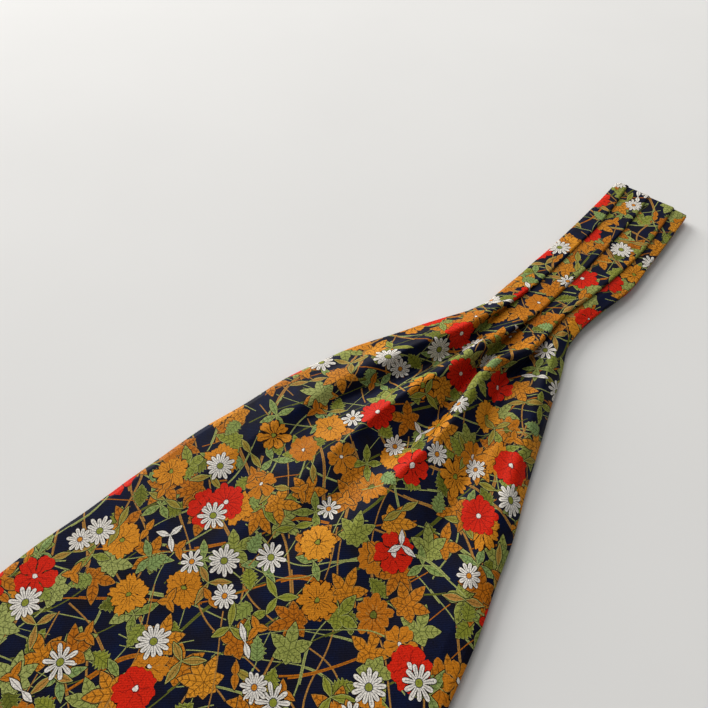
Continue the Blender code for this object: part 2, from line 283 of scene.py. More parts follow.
def smooth(stations, values, at):
    """A cubic through a table's column that never overshoots between two rows."""
    at = min(max(at, stations[0]), stations[-1])
    rises = np.diff(values) / np.diff(stations)
    inner = np.zeros(len(rises) - 1)
    climbing = rises[:-1] * rises[1:] > 0
    inner[climbing] = 2 / (1 / rises[:-1][climbing] + 1 / rises[1:][climbing])
    slopes = np.concatenate([rises[:1], inner, rises[-1:]])
    row = min(int(np.searchsorted(stations, at, side="right")), len(stations) - 1) - 1
    step = stations[row + 1] - stations[row]
    t = (at - stations[row]) / step
    start = values[row] * (1 + 2 * t) + slopes[row] * step * t
    end = values[row + 1] * (3 - 2 * t) + slopes[row + 1] * step * (t - 1)
    return start * (1 - t) ** 2 + end * t**2


def reader(columns, rows):
    """A function that gives a named column's value at a station, in metres."""
    numbers = np.array(rows, float) * MM

    def read(name, station):
        return float(smooth(numbers[:, 0], numbers[:, columns.index(name)], station))

    return read


outline = reader(OUTLINE_COLUMNS, OUTLINE_ROWS)
swell = reader(SWELL_COLUMNS, SWELL_ROWS)
pleats = [reader(PLEAT_COLUMNS, rows) for rows in (LEFT_PLEAT_ROWS, MIDDLE_PLEAT_ROWS, RIGHT_PLEAT_ROWS)]


def point_narrowing(station, point_station, length):
    """1 along the blade, and down towards 0 along its point."""
    blunt = BLUNT_HALF_WIDTH / outline("right", point_station)
    reached = max(0.0, (station - point_station) / (length - point_station))
    return 1 + (blunt - 1) * reached


def heading(rod, after):
    """Direction of the cloth between two rods. A rod is x, z and a radius, negative under a valley."""
    across, up = after[0] - rod[0], after[1] - rod[1]
    lean = (rod[2] - after[2]) / math.hypot(across, up)
    return math.atan2(up, across) - math.asin(max(-1.0, min(1.0, lean)))


def turned(radius, before, after):
    """How far the cloth turns round a rod: down over a crest, up under a valley."""
    turn = (after - before + math.pi) % (2 * math.pi) - math.pi
    slack = math.radians(30)
    if radius > 0:
        return min(0.0, turn - 2 * math.pi if turn > slack else turn)
    return max(0.0, turn + 2 * math.pi if turn < -slack else turn)


def string_over(start, rods, end):
    """A section of cloth as a string drawn over and under its rods: its points, and how each faces."""
    stops = [(*start, 0.0, 0, 0), *rods, (*end, 0.0, 0, 0)]
    angles = [heading(rod, after) for rod, after in zip(stops, stops[1:])]
    points = [start]
    facing = [angles[0]]
    angle = angles[0]
    for (x, z, radius, bend_points, straight_points), after in zip(stops[1:-1], angles[1:]):
        turn = turned(radius, angle, after)
        for step in range(bend_points):
            reached = angle + turn * step / (bend_points - 1)
            points.append((x - math.sin(reached) * radius, z + math.cos(reached) * radius))
            facing.append(reached)
        angle += turn
        points += [None] * straight_points
        facing += [angle] * straight_points
    points.append(end)
    facing.append(angle)
    known = [i for i, point in enumerate(points) if point is not None]
    axes = [np.interp(range(len(points)), known, [points[i][axis] for i in known]) for axis in (0, 1)]
    return np.column_stack(axes), np.array([(-math.sin(a), math.cos(a)) for a in facing])


def eased(reached):
    """A soft step from 0 to 1."""
    reached = np.clip(reached, 0.0, 1.0)
    return reached * reached * (3 - 2 * reached)


def face_section(station):
    """The silk's middle line at a station, from its left hem allowance's edge to its right one's."""
    keep = point_narrowing(station, UPPER_POINT_STATION, UPPER_LENGTH)
    at = min(station, UPPER_POINT_STATION)
    settled = min(1.0, max(0.0, (station - NECK_STATION) / SETTLING))
    rest = UPPER_BAND_REST + (UPPER_FRONT_REST - UPPER_BAND_REST) * settled
    proud = (WALL - SILK) / 2
    left, right = outline("left", at) * keep, outline("right", at) * keep
    hem = min(HEM_ROLL, HEM_SHARE * right)
    bend = max(HEM_BEND * hem / HEM_ROLL, TIGHTEST_HEM_BEND)
    fold = min(HEM_FOLD, MOST_HEM_FOLD * right)
    depth = min(HEM_DEPTH, MOST_HEM_DEPTH * right)
    under = rest - WALL / 2 + SILK / 2 - (rest - WALL / 2 - LINING_TOP) * settled
    rods = [(left + fold, under + fold, fold, *HEM_FOLD_POINTS)]
    rods.append((left + hem, rest + proud + swell("left_hem", at) - bend, bend, *HEM_ROLL_POINTS))
    for pleat in pleats:
        radius, height = pleat("bend", at) * keep, pleat("height", at)
        crest, valley = pleat("crest", at) * keep, pleat("valley", at) * keep
        crest_radius, valley_radius = radius + proud, max(radius - proud, TIGHTEST_VALLEY)
        rods.append((crest, rest + height - radius, crest_radius, *CREST_POINTS))
        rods.append((valley, rest + proud + valley_radius, -valley_radius, *VALLEY_POINTS))
    crest, height, radius = swell("crest", at) * keep, swell("height", at), swell("bend", at) * keep
    rods.append((crest, rest + height - radius, radius + proud, *SWELL_POINTS))
    rods.append((right - hem, rest + proud + swell("right_hem", at) - bend, bend, *RIGHT_ROLL_POINTS))
    rods.append((right - fold, under + fold, fold, HEM_FOLD_POINTS[0], 0))
    return string_over((left + depth, under), rods, (right - depth, under))


# Creases, given one by one: points across and along in millimetres, height (a trough is negative) and half
# width
UPPER_CREASES = [
    (((-16.0, 158.0), (-19.0, 190.0), (-38.0, 232.0)), -0.8, 2.2),
    (((-2.0, 168.0), (4.0, 200.0), (-2.0, 240.0)), -0.8, 2.2),
    (((13.0, 168.0), (17.0, 190.0), (28.0, 218.0)), -0.8, 2.6),
    (((24.0, 178.0), (28.0, 200.0), (38.0, 236.0)), 1.3, 3.0),
    (((29.0, 172.0), (34.0, 196.0), (46.0, 232.0)), -0.8, 2.6),
    (((16.0, 206.0), (20.0, 232.0), (30.0, 262.0)), 1.0, 3.6),
    (((-26.0, 176.0), (-34.0, 200.0), (-40.0, 226.0)), 0.9, 2.0),
    (((-12.0, 196.0), (-18.0, 222.0), (-20.0, 250.0)), 1.0, 2.2),
    (((8.4, 204.0), (10.0, 220.0), (7.0, 244.0)), 1.0, 2.2),
    (((-36.0, 176.0), (-46.0, 200.0), (-56.0, 232.0)), -0.7, 2.6),
    (((-30.0, 236.0), (-38.0, 262.0), (-42.0, 292.0)), -0.7, 4.5),
    (((2.0, 246.0), (-6.0, 272.0), (-8.0, 300.0)), -0.7, 5.0),
    (((-14.0, 262.0), (-24.0, 300.0), (-28.0, 346.0)), 0.6, 8.0),
    (((34.0, 252.0), (30.0, 300.0), (34.0, 352.0)), -0.6, 9.0),
    (((-55.0, 282.0), (-48.0, 330.0), (-50.0, 386.0)), 0.5, 11.0),
    (((0.0, 330.0), (8.0, 392.0), (-4.0, 452.0)), 0.45, 13.0),
    (((52.0, 330.0), (48.0, 390.0), (56.0, 446.0)), 0.45, 12.0),
    (((-8.0, 150.0), (-10.0, 166.0), (-13.0, 184.0)), -0.5, 1.4),
    (((12.0, 148.0), (9.5, 155.0), (7.5, 162.0)), 0.3, 1.4),
    (((20.0, 146.0), (22.0, 160.0), (27.0, 176.0)), -0.6, 1.8),
]

# Steps along a crease, and how it fades from its middle to its two ends
CREASE_STEPS = 25
CREASE_SHARE = 0.92
CREASE_END = 0.04
CREASE_FADING = 0.6


def crease_lift(creases, x, station):
    """How far the listed creases raise each point of the cloth."""
    lift = np.zeros(len(x))
    t = np.linspace(0.0, 1.0, CREASE_STEPS)
    fading = np.sin(np.pi * (t * CREASE_SHARE + CREASE_END)) ** CREASE_FADING
    for ((x0, s0), (x1, s1), (x2, s2)), height, half_width in creases:
        across = (1 - t) ** 2 * x0 + 2 * t * (1 - t) * x1 + t**2 * x2
        along = (1 - t) ** 2 * s0 + 2 * t * (1 - t) * s1 + t**2 * s2
        away = np.hypot(x[:, None] / MM - across, station[:, None] / MM - along)
        lift += height * MM * (np.exp(-((away / half_width) ** 2)) * fading).max(axis=1)
    return lift


# The waves in which a hem wanders: how far in millimetres, how many of them to a radian, and the start
LONG_WANDER = (0.30, 11.0, 0.6)
SHORT_WANDER = (0.25, 6.3, 2.1)
WANDER_SHARE = 0.2
FULL_WANDER_HALF_WIDTH = 30 * MM


def edge_wander(x, station):
    """The hand-turned hems wander a little in and out, in one long wave and one short one."""
    along = station / MM
    reach, length, start = LONG_WANDER
    wave = reach * np.sin(along / length + start)
    reach, length, start = SHORT_WANDER
    wave += reach * np.sin(along / length + start + np.sign(x))
    return np.sign(x) * wave * MM


def shell(name, rings, prints):
    """A closed thin shell through rings of paired points, which also lie on the print, in metres."""
    count = len(rings[0])
    faces = []
    for ring in range(len(rings) - 1):
        near, far = ring * count, (ring + 1) * count
        for i in range(count):
            after = (i + 1) % count
            faces.append((near + i, far + i, far + after, near + after))
    last = (len(rings) - 1) * count
    for i in range(count // 2 - 1):
        across = (i, i + 1, count - 2 - i, count - 1 - i)
        faces.append(across)
        faces.append(tuple(last + corner for corner in reversed(across)))
    mesh = bpy.data.meshes.new(name)
    mesh.from_pydata(np.vstack(rings).tolist(), [], faces)
    mesh.update()
    print_map = mesh.uv_layers.new(name="cloth")
    corners = np.empty(len(mesh.loops), np.int32)
    mesh.loops.foreach_get("vertex_index", corners)
    print_map.data.foreach_set("uv", np.vstack(prints)[corners].astype(np.float32).ravel())
    mesh.shade_smooth()
    piece = bpy.data.objects.new(name, mesh)
    bpy.context.scene.collection.objects.link(piece)
    return piece


def ring_of(section, station, creases):
    """A section's top and underside as one loop of x and z, and the width of cloth to each of its points."""
    points, facing = section
    stations = np.full(len(points), station)
    points = points + np.column_stack([np.zeros(len(points)), crease_lift(creases, points[:, 0], stations)])
    half_width = max(abs(points[:, 0]))
    near_edge = eased((abs(points[:, 0]) / half_width - (1 - WANDER_SHARE)) / WANDER_SHARE)
    broad = min(1.0, half_width / FULL_WANDER_HALF_WIDTH)
    points[:, 0] += edge_wander(points[:, 0], stations) * near_edge * broad
    width = np.concatenate([[0.0], np.cumsum(np.hypot(*np.diff(points, axis=0).T))])
    width -= width[-1] / 2
    loop = np.vstack([points + facing * SILK / 2, (points - facing * SILK / 2)[::-1]])
    return loop, np.concatenate([width, width[::-1]])


def stations_between(start, end, step):
    """Even stations from start to end, about a step apart."""
    return list(np.linspace(start, end, max(2, int(round((end - start) / step)) + 1)))


# The turn swings the band's section half round an axis under it, and thins it to the lower band's height
turn_axis = LOWER_BAND_HEIGHT + SEAM_GAP / 2
turn_gap = SEAM_GAP / 2
pleat_thickness = PLEAT_HEIGHT + WALL
turn_thinning = (turn_axis - turn_gap) / pleat_thickness
turn_station = turn_gap + pleat_thickness * (1 + turn_thinning) / 2
TURN_RINGS = 17
TURN_EVENNESS = 0.94
TURN_CORNER = 0.9 * MM
TURN_CORNER_WIDTH = 5 * MM

# Where the pleats open and where their ridges have faded, and how far apart the rings of cloth are
PLEATS_OPEN = 116 * MM
RIDGES_FADED = 240 * MM
UNDER_BAND_STEP = 5 * MM
BAND_STEP = 2.2 * MM
RIDGE_STEP = 1.25 * MM
BLADE_STEP = 4.4 * MM
POINT_STEP = 5 * MM

# The rings run from under the band, round the turn, and along the top to the blade's point
cloth_rings = []
cloth_prints = []
for station in stations_between(NECK_STATION - SEAM_GAP / 2, turn_station + 2 * MM, -UNDER_BAND_STEP):
    loop, width = ring_of(face_section(station), station, [])
    heights = loop[:, 1] - (UPPER_BAND_REST - WALL / 2)
    reach = turn_gap + heights * min(turn_thinning, (turn_axis - turn_gap) / max(heights))
    y = np.full(len(loop), FOLDED_LENGTH / 2 - station)
    cloth_rings.append(np.column_stack([loop[:, 0], y, turn_axis - reach]))
    cloth_prints.append(np.column_stack([width, np.full(len(loop), -station)]))
loop, width = ring_of(face_section(turn_station), turn_station, [])
heights = loop[:, 1] - (UPPER_BAND_REST - WALL / 2)
for step in range(TURN_RINGS - 1, -1, -1):
    share = step / (TURN_RINGS - 1)
    angle = math.pi * share
    reach = turn_gap + heights * (1 + (turn_thinning - 1) * share)
    bulge = turn_gap + TURN_EVENNESS * max(heights) + (1 - TURN_EVENNESS) * heights
    y = FOLDED_LENGTH / 2 - turn_station + bulge * math.sin(angle)
    from_edge = np.minimum(loop[:, 0].max() - loop[:, 0], loop[:, 0] - loop[:, 0].min())
    rounding = np.sign(loop[:, 0]) * TURN_CORNER * (1 - eased(from_edge / TURN_CORNER_WIDTH))
    x = loop[:, 0] - rounding * math.sin(angle)
    cloth_rings.append(np.column_stack([x, y, turn_axis + reach * math.cos(angle)]))
    cloth_prints.append(np.column_stack([width, np.full(len(loop), turn_station * (1 - 2 * share))]))
blade_stations = (
    stations_between(turn_station + 1.5 * MM, PLEATS_OPEN, BAND_STEP)
    + stations_between(PLEATS_OPEN + 1.2 * MM, RIDGES_FADED, RIDGE_STEP)
    + stations_between(RIDGES_FADED + 3 * MM, UPPER_POINT_STATION, BLADE_STEP)
    + stations_between(UPPER_POINT_STATION + 3 * MM, UPPER_LENGTH, POINT_STEP)
)
for station in blade_stations:
    loop, width = ring_of(face_section(station), station, UPPER_CREASES)
    y = np.full(len(loop), FOLDED_LENGTH / 2 - station)
    cloth_rings.append(np.column_stack([loop[:, 0], y, loop[:, 1]]))
    cloth_prints.append(np.column_stack([width, np.full(len(loop), station)]))
upper_cloth = shell("upper_cloth", cloth_rings, cloth_prints)


def dye(red, green, blue):
    """A dye's colour, from 0 to 255 as the eye sees it."""
    return (*(((c / 255 + 0.055) / 1.055) ** 2.4 for c in (red, green, blue)), 1.0)


NAVY = dye(8, 19, 50)
DARK_INK = dye(20, 13, 4)
BROWN_INK = dye(52, 24, 6)
RUST = dye(178, 101, 18)
OCHRE = dye(200, 125, 28)
AMBER = dye(214, 142, 38)
STRAW = dye(172, 122, 58)
MOSS = dye(48, 58, 16)
OLIVE = dye(98, 102, 34)
GREEN = dye(134, 138, 48)
SAGE = dye(158, 164, 94)
MINT = dye(128, 154, 96)
RED = dye(204, 34, 12)
CRIMSON = dye(116, 8, 6)
WHITE = dye(226, 220, 210)
SLATE = dye(60, 60, 74)

# How the screens are cut: lines, eyes and ruffles in millimetres, and the rest as shares
DARK_LINE = 0.32
RIM = 0.24
VEIN = 0.15
VEIN_END = 0.85
VEIN_INK = 0.65
SIDE_VEIN_SHARE = 0.2
SIDE_VEIN_SLANT = 0.8
EYE_RING = 0.3
PETAL_UNEVENNESS = 0.1
NOTCH_WIDTH = 0.45
TOOTH_DEPTH = 0.4
TOOTH_ROOT = 0.72
RUFFLE = 2.2
STALK_HEART = 0.35

# How far a screen is moved for each step of its shift or its seed, and how far apart in the noise the
# breaks along a stalk and those of the next stalk are
STALK_SHIFT = (3.7, 5.1, 0.0)
MOTIF_SHIFT = (7.3, 3.1, 1.7)
STALK_BREAKS = (0.028, 3.7)

# Millimetres of print to a metre of cloth, how grainy its dyes are, and how dark its stipple is
PRINT_SCALE = 1060.0
PRINT_GRAIN = 1.6
STIPPLE_INK = 0.4


class PrintScreen:
    """Draws the silk's print step by step, as shader nodes."""

    def __init__(self, material):
        self.tree = material.node_tree

    def node(self, kind, **settings):
        """A new shader node of one kind."""
        made = self.tree.nodes.new("ShaderNode" + kind)
        for name, value in settings.items():
            setattr(made, name, value)
        return made

    def fill(self, socket, value):
        """Link a socket to another node's output, or set the value that it holds."""
        if isinstance(value, bpy.types.NodeSocket):
            self.tree.links.new(value, socket)
        elif value is not None:
            socket.default_value = value

    def sum(self, operation, *values):
        """One step of arithmetic."""
        made = self.node("Math", operation=operation)
        for socket, value in zip(made.inputs, values):
            self.fill(socket, value)
        return made.outputs[0]

    def vector(self, operation, *values):
        """One step of arithmetic on a place or a direction."""
        made = self.node("VectorMath", operation=operation)
        for socket, value in zip(made.inputs, values):
            self.fill(socket, value)
        return made.outputs["Value" if operation == "LENGTH" else "Vector"]

    def dyed(self, where, under, over):
        """One dye printed over another, as strongly as where says."""
        made = self.node("Mix", data_type="RGBA")
        self.fill(made.inputs["Factor"], where)
        self.fill(made.inputs["A"], under)
        self.fill(made.inputs["B"], over)
        return made.outputs["Result"]

    def curve(self, value, points):
        """A value read off a smooth curve through points."""
        made = self.node("FloatCurve")
        self.fill(made.inputs["Value"], value)
        line = made.mapping.curves[0]
        for point in points[1:-1]:
            line.points.new(*point)
        line.points[0].location = points[0]
        line.points[-1].location = points[-1]
        made.mapping.update()
        return made.outputs[0]

    def noise(self, place, scale, detail=2.0):
        """Soft blotches, as a share in Fac and as three shares in Color."""
        made = self.node("TexNoise")
        self.fill(made.inputs["Vector"], place)
        made.inputs["Scale"].default_value = scale
        made.inputs["Detail"].default_value = detail
        return made.outputs

    def axes(self, place):
        """A place's distances along x and y."""
        made = self.node("SeparateXYZ")
        self.fill(made.inputs[0], place)
        return made.outputs[0], made.outputs[1]


def stems(screen, paint, place, bent, turn, spacing, half_width, shift, colour, kept):
    """Long thin stalks that wander across the silk side by side, broken here and there."""
    laid = screen.node("Mapping")
    screen.fill(laid.inputs["Vector"], screen.vector("MULTIPLY_ADD", bent, (shift, -shift, 0.0), place))
    laid.inputs["Rotation"].default_value = (0.0, 0.0, math.radians(turn))
    laid.inputs["Location"].default_value = [shift * step for step in STALK_SHIFT]
    along, across = screen.axes(laid.outputs[0])
    beside = screen.sum("PINGPONG", across, spacing)
    row = screen.sum("FLOOR", screen.sum("DIVIDE", across, spacing * 2))
    gaps = screen.node("TexNoise", noise_dimensions="2D")
    gaps.inputs["Scale"].default_value = 1.0
    gaps.inputs["Detail"].default_value = 0.0
    spot = screen.node("CombineXYZ")
    screen.fill(spot.inputs[0], screen.sum("MULTIPLY", along, STALK_BREAKS[0]))
    screen.fill(spot.inputs[1], screen.sum("MULTIPLY", row, STALK_BREAKS[1]))
    screen.fill(gaps.inputs["Vector"], spot.outputs[0])
    unbroken = screen.sum("LESS_THAN", gaps.outputs[0], kept)
    on = screen.sum("MULTIPLY", screen.sum("LESS_THAN", beside, half_width), unbroken)
    heart = screen.sum("LESS_THAN", beside, half_width * STALK_HEART)
    shade = screen.sum("MULTIPLY", heart, STALK_HEART)
    return screen.dyed(on, paint, screen.dyed(shade, colour, MOSS))


def sprinkled(screen, place, seed, pitch, turn, share, reach):
    """One motif to a cell of a turned grid, at its own place and angle, and with chances of its own."""
    laid = screen.node("Mapping")
    screen.fill(laid.inputs["Vector"], place)
    laid.inputs["Location"].default_value = [seed * step for step in MOTIF_SHIFT]
    laid.inputs["Rotation"].default_value = (0.0, 0.0, math.radians(turn))
    laid.inputs["Scale"].default_value = (1 / pitch, 1 / pitch, 0.0)
    cell = screen.vector("FLOOR", laid.outputs[0])
    chance = screen.node("TexWhiteNoise")
    screen.fill(chance.inputs["Vector"], cell)
    split = screen.node("SeparateColor")
    screen.fill(split.inputs[0], chance.outputs["Color"])
    room = 1 - 2 * reach / pitch
    centre = screen.vector("MULTIPLY_ADD", chance.outputs["Color"], (room, room, 0.0), (reach / pitch,) * 3)
    away = screen.vector("SUBTRACT", screen.vector("SUBTRACT", laid.outputs[0], cell), centre)
    away = screen.vector("MULTIPLY", away, (pitch, pitch, 0.0))
    spun = screen.node("VectorRotate", rotation_type="Z_AXIS")
    screen.fill(spun.inputs["Vector"], away)
    screen.fill(spun.inputs["Angle"], screen.sum("MULTIPLY", chance.outputs["Value"], math.tau * 5))
    present = screen.sum("LESS_THAN", split.outputs[2], share)
    return spun.outputs[0], present, split.outputs[0], split.outputs[1]


def motif(
    screen, paint, place, seed, grid, parts, size, outline_points, inks,
    veins=0.0, teeth=0.0, droop=0.0, notch=0.0, eye=None, bent=None,
):
    """A flower or a leaf, folded out of one petal or lobe: its outline, fill, ink lines and eye.

    grid is its pitch in millimetres, its turn in degrees, and the share of its cells that hold one.
    parts are the fewest and the most petals, and size is a petal's length and half width.
    inks are its light dye, its dark one, that of its lines and that of its rim.
    """
    pitch, turn, share = grid
    length, half_width = size
    if bent is not None:
        place = screen.vector("MULTIPLY_ADD", bent, (RUFFLE, RUFFLE, 0.0), place)
    away, present, first, second = sprinkled(screen, place, seed, pitch, turn, share, length)
    x, y = screen.axes(away)
    radius = screen.vector("LENGTH", away)
    angle = screen.sum("ARCTAN2", y, x)
    if parts[0] == parts[1]:
        wedge = math.tau / parts[0]
    else:
        count = screen.sum("FLOOR", screen.sum("MULTIPLY_ADD", first, parts[1] - parts[0] + 0.99, parts[0]))
        wedge = screen.sum("DIVIDE", math.tau, count)
    middle = screen.sum("MULTIPLY", screen.sum("ROUND", screen.sum("DIVIDE", angle, wedge)), wedge)
    off = screen.sum("SUBTRACT", angle, middle)
    if droop:
        reach = screen.sum("MULTIPLY_ADD", screen.sum("COSINE", middle), length * droop, length * (1 - droop))
    else:
        uneven = screen.sum("SINE", screen.sum("MULTIPLY_ADD", middle, 5.3, second))
        spread = length * PETAL_UNEVENNESS
        reach = screen.sum("MULTIPLY_ADD", uneven, spread, length - spread)
    along = screen.sum("DIVIDE", screen.sum("MULTIPLY", radius, screen.sum("COSINE", off)), reach)
    aside = screen.sum("ABSOLUTE", screen.sum("MULTIPLY", radius, screen.sum("SINE", off)))
    if notch:
        dent = screen.sum("MULTIPLY_ADD", aside, -notch / (NOTCH_WIDTH * half_width), notch)
        along = screen.sum("ADD", along, screen.sum("MAXIMUM", dent, 0.0))
    wide = screen.sum("MULTIPLY", screen.curve(along, outline_points), half_width)
    if teeth:
        saw = screen.sum("PINGPONG", along, teeth)
        jag = screen.sum("MULTIPLY_ADD", saw, TOOTH_DEPTH / teeth, TOOTH_ROOT)
        wide = screen.sum("MULTIPLY", wide, jag)
    inside = screen.sum("SUBTRACT", wide, aside)
    before_tip = screen.sum("LESS_THAN", along, 1 + DARK_LINE / length)
    on = screen.sum("MULTIPLY", screen.sum("GREATER_THAN", inside, -DARK_LINE), before_tip)
    light, dark, line, rim = inks
    fill = screen.dyed(second, light, dark)
    before_end = screen.sum("LESS_THAN", along, VEIN_END)
    drawn = screen.sum("MULTIPLY", screen.sum("LESS_THAN", aside, VEIN), before_end)
    if veins:
        slant = screen.sum("MULTIPLY_ADD", aside, -SIDE_VEIN_SLANT / length, along)
        beside = screen.sum("PINGPONG", slant, veins)
        side_veins = screen.sum("LESS_THAN", beside, veins * SIDE_VEIN_SHARE)
        drawn = screen.sum("MAXIMUM", drawn, side_veins)
    fill = screen.dyed(screen.sum("MULTIPLY", drawn, VEIN_INK), fill, line)
    fill = screen.dyed(screen.sum("LESS_THAN", inside, RIM), fill, rim)
    fill = screen.dyed(screen.sum("LESS_THAN", inside, 0.0), fill, DARK_INK)
    if eye:
        eye_radius, eye_dye = eye
        ringed = screen.sum("LESS_THAN", radius, eye_radius + EYE_RING)
        fill = screen.dyed(ringed, fill, line)
        fill = screen.dyed(screen.sum("LESS_THAN", radius, eye_radius), fill, eye_dye)
        on = screen.sum("MAXIMUM", on, ringed)
    return screen.dyed(screen.sum("MULTIPLY", on, present), paint, fill)


# The outline of a leaf or petal: how far along it, and how wide there, as shares of its length and width
LANCE = ((0, 0.10), (0.22, 0.62), (0.48, 1.0), (0.78, 0.58), (1.0, 0.0))
LOBE = ((0, 0.55), (0.3, 0.85), (0.5, 1.0), (0.78, 0.6), (1.0, 0.0))
HEART = ((0, 0.25), (0.1, 0.72), (0.32, 1.0), (0.7, 0.62), (1.0, 0.0))
BROAD_PETAL = ((0, 0.12), (0.35, 0.5), (0.72, 1.0), (0.92, 0.78), (1.0, 0.0))
SLIM_PETAL = ((0, 0.5), (0.4, 0.7), (0.78, 1.0), (0.93, 0.75), (1.0, 0.0))

# What each leaf and flower is printed in: its light dye, its dark one, that of its lines and of its rim
OCHRE_LEAF = (OCHRE, RUST, BROWN_INK, STRAW)
AMBER_LEAF = (AMBER, RUST, BROWN_INK, STRAW)
GREEN_LEAF = (GREEN, OLIVE, MOSS, SAGE)
STRAW_LEAF = (GREEN, STRAW, MOSS, SAGE)
SAGE_LEAF = (SAGE, GREEN, MOSS, SAGE)
MINT_LEAF = (MINT, GREEN, MOSS, SAGE)
OCHRE_BLOOM = (AMBER, OCHRE, BROWN_INK, BROWN_INK)
RUST_BLOOM = (OCHRE, RUST, BROWN_INK, STRAW)
RED_BLOOM = (RED, RED, CRIMSON, RED)
WHITE_BLOOM = (WHITE, WHITE, SLATE, WHITE)

# Rows of stalks: their turn in degrees, how far apart they are and half their width in millimetres, how
# far they wander, their dye, and the share of each that is printed
UNDER_STALKS = [
    (24, 8.0, 0.50, 60.0, SAGE, 0.52),
    (-52, 10.0, 0.80, -75.0, STRAW, 0.52),
    (71, 9.0, 0.50, 50.0, OLIVE, 0.52),
    (-15, 11.0, 0.80, 85.0, STRAW, 0.50),
    (50, 12.0, 0.65, -65.0, RUST, 0.45),
    (-80, 9.0, 0.45, 70.0, SAGE, 0.50),
]
MIDDLE_STALK = (38, 15.0, 0.4, 66.0, SAGE, 0.40)
UPPER_STALK = (-66, 17.0, 0.55, 72.0, STRAW, 0.40)


def floral_print(screen, place):
    """The whole print, from its navy ground and lowest leaves up to the daisies on top."""
    bent = screen.vector("SUBTRACT", screen.noise(place, 0.012, 1.0)["Color"], (0.5, 0.5, 0.5))
    ruffle = screen.vector("SUBTRACT", screen.noise(place, 0.4, 1.0)["Color"], (0.5, 0.5, 0.5))
    clearing = screen.sum("MULTIPLY_ADD", screen.noise(place, 0.1)["Fac"], 1.8, -0.25)
    paint = screen.dyed(clearing, DARK_INK, NAVY)
    for stalk in UNDER_STALKS:
        paint = stems(screen, paint, place, bent, *stalk)
    paint = motif(
        screen, paint, place, 11, (22, 20, 0.70), (1, 1), (11.0, 3.4), LANCE, GREEN_LEAF,
        veins=0.09, teeth=0.07,
    )
    paint = motif(
        screen, paint, place, 12, (23, 65, 0.52), (5, 7), (11.0, 2.2), LOBE, OCHRE_LEAF,
        veins=0.13, droop=0.27,
    )
    paint = motif(
        screen, paint, place, 13, (23, -15, 0.60), (5, 7), (10.8, 2.3), LANCE, SAGE_LEAF,
        veins=0.13, droop=0.27,
    )
    paint = motif(
        screen, paint, place, 14, (24, 40, 0.16), (9, 12), (8.4, 1.9), BROAD_PETAL, RUST_BLOOM,
        eye=(1.1, OLIVE), bent=ruffle,
    )
    paint = motif(
        screen, paint, place, 15, (23, -50, 0.6), (3, 4), (10.6, 1.7), LANCE, MINT_LEAF,
        veins=0.12, droop=0.15,
    )
    paint = stems(screen, paint, place, bent, *MIDDLE_STALK)
    paint = motif(
        screen, paint, place, 16, (23, 5, 0.48), (5, 7), (11.0, 2.3), LOBE, AMBER_LEAF,
        veins=0.13, droop=0.25,
    )
    paint = motif(
        screen, paint, place, 17, (21, -38, 0.40), (1, 1), (9.6, 3.4), HEART, MINT_LEAF,
        veins=0.1, teeth=0.09,
    )
    paint = stems(screen, paint, place, bent, *UPPER_STALK)
    paint = motif(
        screen, paint, place, 18, (25, -30, 0.32), (7, 11), (8.8, 2.2), BROAD_PETAL, OCHRE_BLOOM,
        notch=0.1, eye=(1.0, GREEN), bent=ruffle,
    )
    paint = motif(
        screen, paint, place, 19, (21, 75, 0.45), (2, 3), (9.8, 1.5), LANCE, STRAW_LEAF,
    )
    paint = motif(
        screen, paint, place, 20, (28, 12, 0.24), (5, 6), (7.6, 3.0), BROAD_PETAL, RUST_BLOOM,
        notch=0.12, eye=(0.8, WHITE), bent=ruffle,
    )
    paint = motif(
        screen, paint, place, 24, (20, -62, 0.35), (2, 3), (5.6, 1.5), HEART, RUST_BLOOM,
    )
    paint = motif(
        screen, paint, place, 21, (44, 25, 0.40), (5, 6), (9.0, 3.7), BROAD_PETAL, RED_BLOOM,
        notch=0.1, eye=(1.1, WHITE), bent=ruffle,
    )
    paint = motif(
        screen, paint, place, 25, (47, 68, 0.36), (11, 13), (9.2, 1.75), SLIM_PETAL, RED_BLOOM,
        eye=(1.0, WHITE),
    )
    paint = motif(
        screen, paint, place, 22, (26, 50, 0.26), (10, 13), (7.0, 0.86), SLIM_PETAL, WHITE_BLOOM,
        eye=(1.35, GREEN),
    )
    paint = motif(
        screen, paint, place, 23, (22, -70, 0.24), (9, 12), (5.6, 0.78), SLIM_PETAL, WHITE_BLOOM,
        eye=(1.0, OCHRE),
    )
    return motif(
        screen, paint, place, 26, (38, -8, 0.25), (2, 3), (7.5, 1.2), LANCE, WHITE_BLOOM,
        droop=0.1,
    )


